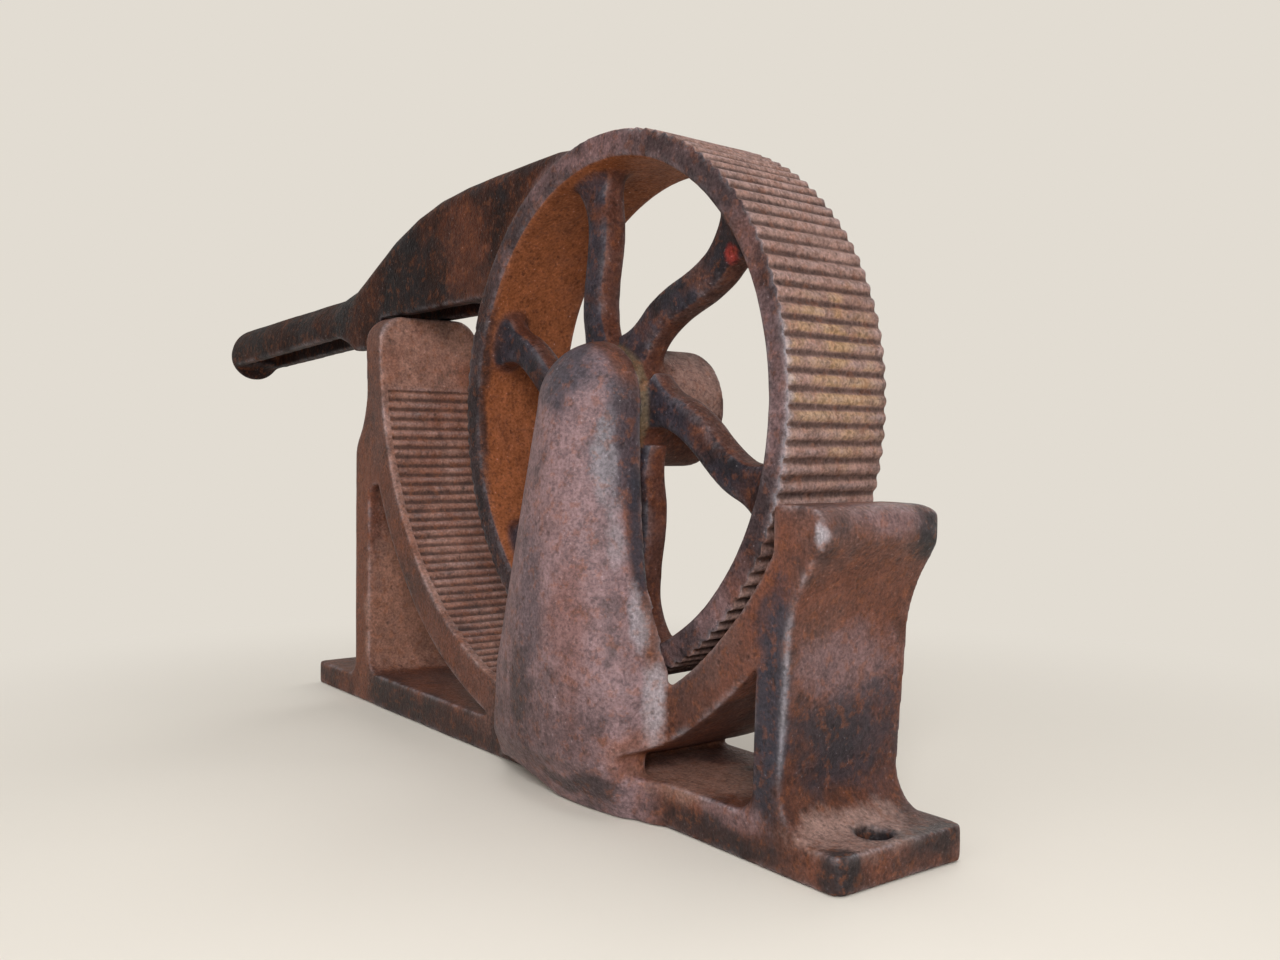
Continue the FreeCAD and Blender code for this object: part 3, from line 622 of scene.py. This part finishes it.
# Rubbed bare and painted highlight along the rim's right front edge.
RIM_EDGE_WEAR_AND_HIGHLIGHT = Stain("bare", 0.5, (54.5, -12.8, 80), (4, 1.4, 22))
CORK_DUST = Stain("tan", 0.7, (56, 0, 88), (10, 14, 16))
WHEEL_STAINS = (
    # Red paint by a spoke's end, varnish on the lever's neck, rust where the lever leaves the rim.
    Stain("red", 0.7, (37.5, -9, 109.5), (2, 2, 2)),
    Stain("black", 0.9, (-142, -9, 117), (13, 6, 12)),
    Stain("black", 0.8, (-52, -13, 74), (9, 3, 42)),
    Stain("rust", 0.5, (-62, -12, 120), (14, 5, 16)),
    # The back of the hub, made lighter.
    Stain("worn", 0.6, (8, 5, 87), (9, 8, 9)),
)


GRAIN = 1500.0  # sand grains per metre
GRAIN_DEPTH = 0.3 * MM
GRAIN_BUMP = 0.8
PITS = 0.5
SPECKS = 0.4
CONTRAST = 0.42  # of the grain's tone
MOTTLE = 0.56  # strength of the broader light and dark
POLISH = 0.12  # how much smoother light grains are than dark ones
STAIN_SHINE = 0.08


class Finish:
    """A material that is built up coat by coat."""

    def __init__(self, name, ground):
        self.material = bpy.data.materials.new(name)
        self.material.use_nodes = True
        self.tree = self.material.node_tree
        self.tree.nodes.clear()
        local = place(self.tree, "TexCoord").outputs
        self.where = local["Object"]
        self.facing = local["Normal"]
        self.axes = place(self.tree, "SeparateXYZ", {0: self.where}).outputs
        self.edge = self.attribute("edge")
        self.hollow = self.attribute("hollow")
        self.groove = self.attribute("groove")
        self.ragged = noise(self.tree, self.where, 110.0, 6, 0.66)
        self.colour = ground
        self.gloss = 0.0

    def attribute(self, name):
        """A value that the mesh keeps at each point."""
        return place(self.tree, "Attribute", attribute_name=name).outputs["Fac"]

    def times(self, *masks):
        """The product of masks and plain numbers."""
        product = masks[0]
        for mask in masks[1:]:
            product = maths(self.tree, "MULTIPLY", product, mask)
        return product

    def coat(self, mask, colour, shine=0.0):
        """Lays a colour over what is there; shine is how much smoother it is."""
        self.colour = blend_colours(self.tree, mask, self.colour, colour)
        if shine:
            self.gloss = maths(self.tree, "MULTIPLY_ADD", mask, shine, self.gloss)

    def patches(self, size, share, edge=0.08):
        """A mask of ragged patches, size of them to a metre."""
        inputs = {"Where": self.where, "Size": size, "Share": share, "Edge": edge}
        return shared(self.tree, "patches", inputs)["Mask"]

    def covered(self, spot):
        """How strongly a stain covers the face."""
        inputs = {"Where": self.where, "Ragged": self.ragged,
                  "Centre": [value * MM for value in spot.centre],
                  "Reach": [value * MM for value in spot.reach]}
        return self.times(shared(self.tree, "stain", inputs)["Mask"], spot.strength)

    def spots(self, stains):
        """Lays the stains one over another."""
        colours = bpy.context.scene.cork_press.colours
        for spot in stains:
            self.coat(self.covered(spot), getattr(colours, spot.finish), STAIN_SHINE)

    def rubbed(self, amount):
        """A mask of edges that are rubbed bare."""
        inputs = {"Where": self.where, "Edge": self.edge, "Amount": amount}
        return shared(self.tree, "rubbed_edges", inputs)["Mask"]

    def beyond(self, axis, start, full):
        """1 past full along an axis, 0 before start."""
        return between(self.tree, self.axes["XYZ".index(axis)], start, full)

    def turned_to(self, direction, start, full):
        """1 on faces that look along a direction, which may be the output of a node."""
        along = place(self.tree, "VectorMath", {0: self.facing, 1: direction}, operation="DOT_PRODUCT")
        return between(self.tree, along.outputs["Value"], start, full)

    def finish(self, roughness, depth, soot, bloom, shine):
        """Adds the grain and the shader; soot and bloom are the strength of dark and warm specks."""
        tree = self.tree
        sand = shared(tree, "sand_grain", {"Where": self.where, "Fineness": GRAIN, "Pits": PITS})
        colours = bpy.context.scene.cork_press.colours
        self.coat(self.times(sand["Warm"], bloom), colours.bright_rust)
        self.coat(self.times(sand["Dark"], soot), colours.black)
        self.coat(self.times(sand["Specks"], SPECKS), colours.bare)
        mottle = noise(tree, self.where, GRAIN / 7, 3, 0.5)
        shade = maths(tree, "MULTIPLY_ADD", sand["Tone"], 2 * CONTRAST, 1 - MOTTLE / 2 - CONTRAST)
        shade = maths(tree, "MULTIPLY_ADD", mottle, MOTTLE, shade)
        tone = place(tree, "VectorMath", {0: self.colour, "Scale": shade}, operation="SCALE").outputs[0]
        dull = maths(tree, "SUBTRACT", roughness, self.gloss)
        rough = maths(tree, "MULTIPLY_ADD", sand["Tone"], -POLISH, maths(tree, "ADD", dull, POLISH / 2))
        bump = place(tree, "Bump", {"Height": sand["Height"], "Distance": depth, "Strength": GRAIN_BUMP})
        shader = place(tree, "BsdfPrincipled", {"Base Color": tone, "Roughness": rough,
                                                "Normal": bump.outputs["Normal"]})
        shader.inputs["Specular IOR Level"].default_value = shine
        output = tree.nodes.new("ShaderNodeOutputMaterial")
        tree.links.new(shader.outputs["BSDF"], output.inputs["Surface"])
        return self.material


def cradle_masks(iron):
    """The inside of the cradle, and the bottoms of its grooves, which lie outside its curve and get
    painted shade.
    """
    casting = bpy.context.scene.cork_press.casting
    tree = iron.tree
    across = maths(tree, "SUBTRACT", iron.axes[0], AXLE.x + casting.cradle_across)
    up = maths(tree, "SUBTRACT", iron.axes[2], AXLE.z + casting.cradle_up)
    offset = place(tree, "CombineXYZ", {0: across, 1: 0.0, 2: up}).outputs[0]
    radius = place(tree, "VectorMath", {0: offset}, operation="LENGTH").outputs["Value"]
    inward = place(tree, "VectorMath", {0: offset, "Scale": -1.0}, operation="SCALE").outputs[0]
    inward = place(tree, "VectorMath", {0: inward}, operation="NORMALIZE").outputs[0]
    deep = between(tree, radius, casting.cradle_radius + 0.3 * casting.relief,
                   casting.cradle_radius + casting.relief)
    inside = iron.times(between(tree, radius, casting.cradle_radius + 3 * casting.relief,
                                casting.cradle_radius + 2 * casting.relief),
                        between(tree, radius, casting.cradle_radius - 3 * casting.relief,
                                casting.cradle_radius - 2 * casting.relief),
                        iron.turned_to(inward, 0.1, 0.4))
    return inside, iron.times(deep, inside)


def frame_finish():
    """Dusty standard and base, rust in the corners, black left on the end plate; painted shade in creases
    and the cradle's grooves, painted light on shaded faces under the cradle, painted highlights on
    rounded edges.
    """
    settings = bpy.context.scene.cork_press
    colours = settings.colours
    front = -RIM_HALF - settings.casting.side_room
    iron = Finish("frame_iron", colours.brown)
    iron.coat(iron.patches(36, 0.5, 0.2), colours.rust)
    iron.coat(iron.times(iron.patches(26, 0.35, 0.15), 0.6), colours.dark)
    standard = iron.beyond("Y", front - 0.2 * MM, front - 3 * MM)
    iron.coat(iron.times(standard, iron.patches(40, 0.9, 0.25)), colours.pale)
    cradle, valley_shade = cradle_masks(iron)
    iron.coat(iron.times(cradle, iron.patches(45, 0.8, 0.25), 0.85), colours.cradle)
    iron.coat(iron.times(cradle, iron.patches(75, 0.45, 0.14), 0.6), colours.rust)
    iron.coat(iron.times(iron.hollow, iron.patches(60, 0.85, 0.15), 0.8), colours.bright_rust)
    iron.coat(iron.times(iron.patches(120, 0.28, 0.1), 0.55), colours.black, 0.1)
    iron.spots(FRAME_STAINS)
    # Painted shade in creases and in the bottoms of the cradle's grooves.
    iron.coat(iron.times(iron.groove, 0.3), colours.black)
    iron.coat(iron.times(valley_shade, 0.55), colours.black)
    iron.coat(iron.rubbed(0.45), colours.bare, 0.15)
    # Rubbed bare and painted highlight on the plate's front edge.
    iron.coat(iron.times(iron.edge, iron.covered(PLATE_EDGE_WEAR_AND_HIGHLIGHT)), colours.bare, 0.2)
    return iron.finish(0.58, GRAIN_DEPTH, soot=0.36, bloom=0.32, shine=0.22)


def wheel_finish():
    """Ribs with painted shade in their grooves, rust inside the rim, black varnish on the spokes, a dark
    lever, a painted highlight on the rim's right front edge.
    """
    settings = bpy.context.scene.cork_press
    colours, casting = settings.colours, settings.casting
    inside = WHEEL_RADIUS - casting.rim_thick
    iron = Finish("wheel_iron", colours.brown)
    tree = iron.tree
    outward = place(tree, "CombineXYZ", {0: iron.axes[0], 1: 0.0,
                                         2: maths(tree, "SUBTRACT", iron.axes[2], AXLE.z)}).outputs[0]
    radius = place(tree, "VectorMath", {0: outward}, operation="LENGTH").outputs["Value"]
    radial = place(tree, "VectorMath", {0: outward}, operation="NORMALIZE").outputs[0]
    rim = between(tree, radius, inside - 1.2 * MM, inside - 0.4 * MM)
    front = iron.turned_to((0, -1, 0), 0.5, 0.8)

    iron.coat(iron.patches(40, 0.5, 0.2), colours.rust)
    ribs = iron.times(rim, iron.turned_to(radial, 0.2, 0.5))
    iron.coat(iron.times(ribs, iron.patches(45, 0.85, 0.25), 0.9), colours.worn)
    lining = iron.times(rim, iron.turned_to(radial, -0.3, -0.7))
    iron.coat(iron.times(lining, iron.patches(45, 0.85, 0.2), 0.85), colours.bright_rust)
    iron.coat(iron.times(rim, front, iron.patches(50, 0.75, 0.15), 0.8), colours.pale)
    iron.coat(iron.times(rim, front, iron.patches(55, 0.6, 0.12), 0.8), colours.black, 0.08)

    lever = between(tree, radius, WHEEL_RADIUS + 0.3 * MM, WHEEL_RADIUS + 3 * MM)
    iron.coat(lever, colours.dark)
    iron.coat(iron.times(lever, iron.patches(48, 0.4, 0.12), 0.35), colours.rust)
    iron.coat(iron.times(lever, iron.patches(62, 0.45, 0.08), 0.8), colours.black)

    spokes = between(tree, radius, inside - 0.2 * MM, inside - 1.6 * MM)
    iron.coat(iron.times(spokes, 0.4), colours.dark)
    iron.coat(iron.times(spokes, front, iron.patches(70, 0.65, 0.1), 0.85), colours.blue, 0.15)
    iron.coat(iron.times(spokes, front, iron.patches(95, 0.45, 0.1), 0.8), colours.black, 0.1)
    collar = iron.times(between(tree, radius, casting.hub_radius + 1.5 * MM, casting.hub_radius),
                        iron.beyond("Y", -8.5 * MM, -9.5 * MM))
    iron.coat(iron.times(collar, 0.8), colours.olive)

    iron.coat(iron.times(iron.hollow, iron.patches(70, 0.6, 0.15), 0.6), colours.bright_rust)
    iron.spots(WHEEL_STAINS)
    # Painted shade in creases, and in the bottoms of the rim's grooves below.
    iron.coat(iron.times(iron.groove, 0.3), colours.black)
    behind = iron.beyond("Y", -RIM_HALF, RIM_HALF)
    crest = maths(tree, "MULTIPLY_ADD", behind, casting.rim_draft, radius)
    valley_shade = between(tree, crest, WHEEL_RADIUS - 0.3 * casting.relief, WHEEL_RADIUS - casting.relief)
    iron.coat(iron.times(ribs, valley_shade, 0.6), colours.black)
    crests = between(tree, crest, WHEEL_RADIUS - 0.7 * casting.relief,
                     WHEEL_RADIUS - 0.3 * casting.relief)
    dusty = iron.times(ribs, crests, iron.covered(CORK_DUST), iron.patches(150, 0.55, 0.15))
    iron.coat(dusty, colours.tan)
    iron.coat(iron.rubbed(0.35), colours.bare, 0.15)
    # Rubbed bare and painted highlight on the rim's right front edge.
    iron.coat(iron.times(iron.edge, iron.covered(RIM_EDGE_WEAR_AND_HIGHLIGHT)), colours.bare, 0.2)
    return iron.finish(0.6, GRAIN_DEPTH, soot=0.4, bloom=0.25, shine=0.06)


def pin_finish():
    """A turned pin, browned all over."""
    colours = bpy.context.scene.cork_press.colours
    iron = Finish("pin_iron", colours.brown)
    iron.coat(iron.patches(120, 0.55), colours.rust)
    iron.coat(iron.times(iron.patches(160, 0.35), 0.8), colours.black, 0.1)
    return iron.finish(0.5, GRAIN_DEPTH / 2, soot=0.3, bloom=0.3, shine=0.2)


def dress(skin, node, body, material):
    """Puts a skin in the place of a CAD node and gives it its material."""
    skin.data.materials.clear()
    skin.data.materials.append(material)
    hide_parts(node)
    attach(skin, body)


class CORKPRESS_OT_cradle_frame(Operator):
    """Makes the skin of the frame casting"""

    bl_idname = "corkpress.cradle_frame"
    bl_label = "Cradle frame"

    def execute(self, context):
        skin = cast_skin("cradle_frame", "cradle_frame_casting", soft_frame, rib_frame)
        dress(skin, "cradle_frame", "frame", frame_finish())
        return {"FINISHED"}


class CORKPRESS_OT_lever_wheel(Operator):
    """Makes the skin of the wheel and lever casting"""

    bl_idname = "corkpress.lever_wheel"
    bl_label = "Lever wheel"

    def execute(self, context):
        skin = cast_skin("lever_wheel", "lever_wheel_casting", soft_wheel, rib_wheel, by_spokes)
        dress(skin, "lever_wheel", "wheel", wheel_finish())
        return {"FINISHED"}


class CORKPRESS_OT_axle_pin(Operator):
    """Gives the axle pin its finish"""

    bl_idname = "corkpress.axle_pin"
    bl_label = "Axle pin"

    def execute(self, context):
        pin = frame["nodes"]["axle_pin"]
        pin.data.materials.clear()
        pin.data.materials.append(pin_finish())
        return {"FINISHED"}


class Lamp(NamedTuple):
    """A soft round lamp that points at the object: its setting's name, place and width in metres."""

    name: str
    place: tuple
    width: float


LAMPS = (
    Lamp("key", (0.42, -0.32, 0.26), 0.24),
    Lamp("fill", (0.1, -0.8, 0.5), 0.6),
    Lamp("back", (-0.3, 0.8, 0.5), 0.6),
    Lamp("top", (-0.05, 0.1, 0.9), 0.9),
)
FLOOR_RINGS = (0.0, 0.3, 0.8, 1.5)
FLOOR_DROP = 0.2 * MM  # below the feet
FLOOR_BEND, BEND_STEPS, FLOOR_TURNS = 0.9, 12, 96
BACKDROP_TOP = 2.2
EVEN_FROM, EVEN_FULL = 0.08, 0.27


class CORKPRESS_OT_stage(Operator):
    """Makes the pale floor, the soft lights and the camera"""

    bl_idname = "corkpress.stage"
    bl_label = "Stage"

    def execute(self, context):
        scene = context.scene
        stage = scene.cork_press.stage
        self.add_floor(stage)
        self.add_camera(scene, stage)
        self.add_light(scene, stage)
        scene.view_settings.view_transform = "Standard"
        return {"FINISHED"}

    def add_floor(self, stage):
        """A round floor that curves up into a backdrop on all sides."""
        mesh = bpy.data.meshes.new("floor")
        shape = bmesh.new()
        profile = [Vector((ring, 0, -FLOOR_DROP)) for ring in FLOOR_RINGS]
        for step in range(1, BEND_STEPS + 1):
            angle = math.radians(90 * step / BEND_STEPS)
            profile.append(Vector((FLOOR_RINGS[-1] + FLOOR_BEND * math.sin(angle), 0,
                                   FLOOR_BEND * (1 - math.cos(angle)))))
        profile.append(Vector((FLOOR_RINGS[-1] + FLOOR_BEND, 0, BACKDROP_TOP)))
        points = [shape.verts.new(point) for point in profile]
        lines = [shape.edges.new(pair) for pair in zip(points, points[1:])]
        bmesh.ops.spin(shape, geom=points + lines, axis=(0, 0, 1), cent=(0, 0, 0), dvec=(0, 0, 0),
                       angle=2 * math.pi, steps=FLOOR_TURNS, use_merge=True)
        bmesh.ops.remove_doubles(shape, verts=shape.verts, dist=1e-5)
        bmesh.ops.recalc_face_normals(shape, faces=shape.faces)
        shape.to_mesh(mesh)
        shape.free()
        mesh.polygons.foreach_set("use_smooth", np.ones(len(mesh.polygons), bool))
        floor = bpy.data.objects.new("floor", mesh)
        bpy.context.scene.collection.objects.link(floor)
        material = bpy.data.materials.new("pale_floor")
        material.use_nodes = True
        tree = material.node_tree
        shader = tree.nodes["Principled BSDF"]
        shader.inputs["Base Color"].default_value = (*stage.floor, 1)
        shader.inputs["Roughness"].default_value = 0.9
        shader.inputs["Specular IOR Level"].default_value = 0.2
        # Far from the object the floor is seen at an even, pale level, whatever light falls there.
        where = place(tree, "TexCoord").outputs["Object"]
        away = place(tree, "VectorMath", {0: where}, operation="LENGTH").outputs["Value"]
        rays = place(tree, "LightPath").outputs
        seen = maths(tree, "MAXIMUM", rays["Is Camera Ray"],
                     maths(tree, "MAXIMUM", rays["Is Glossy Ray"], rays["Is Transmission Ray"]))
        share = maths(tree, "MULTIPLY", seen, between(tree, away, EVEN_FROM, EVEN_FULL))
        even = place(tree, "Emission", {"Color": (*stage.floor, 1), "Strength": 1.0})
        mixed = place(tree, "MixShader", {0: share, 1: shader.outputs[0], 2: even.outputs[0]})
        tree.links.new(mixed.outputs[0], tree.nodes["Material Output"].inputs["Surface"])
        mesh.materials.append(material)

    def add_camera(self, scene, stage):
        """The camera that was fitted to the photograph."""
        turn, tip = stage.azimuth, stage.elevation
        ahead = Vector((-math.sin(turn) * math.cos(tip), math.cos(turn) * math.cos(tip), -math.sin(tip)))
        right = Vector((math.cos(turn), math.sin(turn), 0))
        up = right.cross(ahead)
        tilt = Matrix.Rotation(stage.roll, 3, -ahead)
        right, up = tilt @ right, tilt @ up
        data = bpy.data.cameras.new("camera")
        data.sensor_fit = "HORIZONTAL"
        data.sensor_width = 36
        data.lens = stage.lens
        data.clip_start = 0.005
        camera = bpy.data.objects.new("camera", data)
        axes = Matrix((right, up, -ahead)).transposed()
        camera.matrix_world = Matrix.Translation(stage.eye) @ axes.to_4x4()
        scene.collection.objects.link(camera)
        scene.camera = camera

    def add_light(self, scene, stage):
        """The lamps and an even sky."""
        low, high = CAD_BOX
        middle = (low + high) / 2
        for lamp in LAMPS:
            data = bpy.data.lights.new(lamp.name, "AREA")
            data.shape = "DISK"
            data.size = lamp.width
            data.energy = getattr(stage, lamp.name)
            made = bpy.data.objects.new(lamp.name, data)
            made.location = lamp.place
            made.rotation_euler = (middle - Vector(lamp.place)).to_track_quat("-Z", "Y").to_euler()
            scene.collection.objects.link(made)
        world = bpy.data.worlds.new("soft_sky")
        world.use_nodes = True
        sky = world.node_tree.nodes["Background"]
        sky.inputs["Color"].default_value = (1, 1, 1, 1)
        sky.inputs["Strength"].default_value = stage.world
        scene.world = world


class CORKPRESS_PT_sidebar(Panel):
    """Lists the pieces of the cork press"""

    bl_idname = "CORKPRESS_PT_sidebar"
    bl_label = "Cork press"
    bl_space_type = "VIEW_3D"
    bl_region_type = "UI"
    bl_category = "Cork Press"

    def draw(self, context):
        settings = context.scene.cork_press
        for operator in PIECES:
            self.layout.operator(operator.bl_idname)
        for group in (settings.casting, settings.colours, settings.stage):
            box = self.layout.box()
            for name in group.__annotations__:
                box.prop(group, name)


PIECES = (CORKPRESS_OT_cradle_frame, CORKPRESS_OT_lever_wheel, CORKPRESS_OT_axle_pin,
          CORKPRESS_OT_stage)
CLASSES = (CastingSettings, IronColours, StageSettings, CorkPressSettings, *PIECES,
           CORKPRESS_PT_sidebar)


def register():
    for kind in CLASSES:
        bpy.utils.register_class(kind)
    bpy.types.Scene.cork_press = PointerProperty(type=CorkPressSettings)


def unregister():
    del bpy.types.Scene.cork_press
    for kind in reversed(CLASSES):
        bpy.utils.unregister_class(kind)


def main():
    register()
    bpy.ops.corkpress.cradle_frame()
    bpy.ops.corkpress.lever_wheel()
    bpy.ops.corkpress.axle_pin()
    bpy.ops.corkpress.stage()


if __name__ == "__main__":
    main()
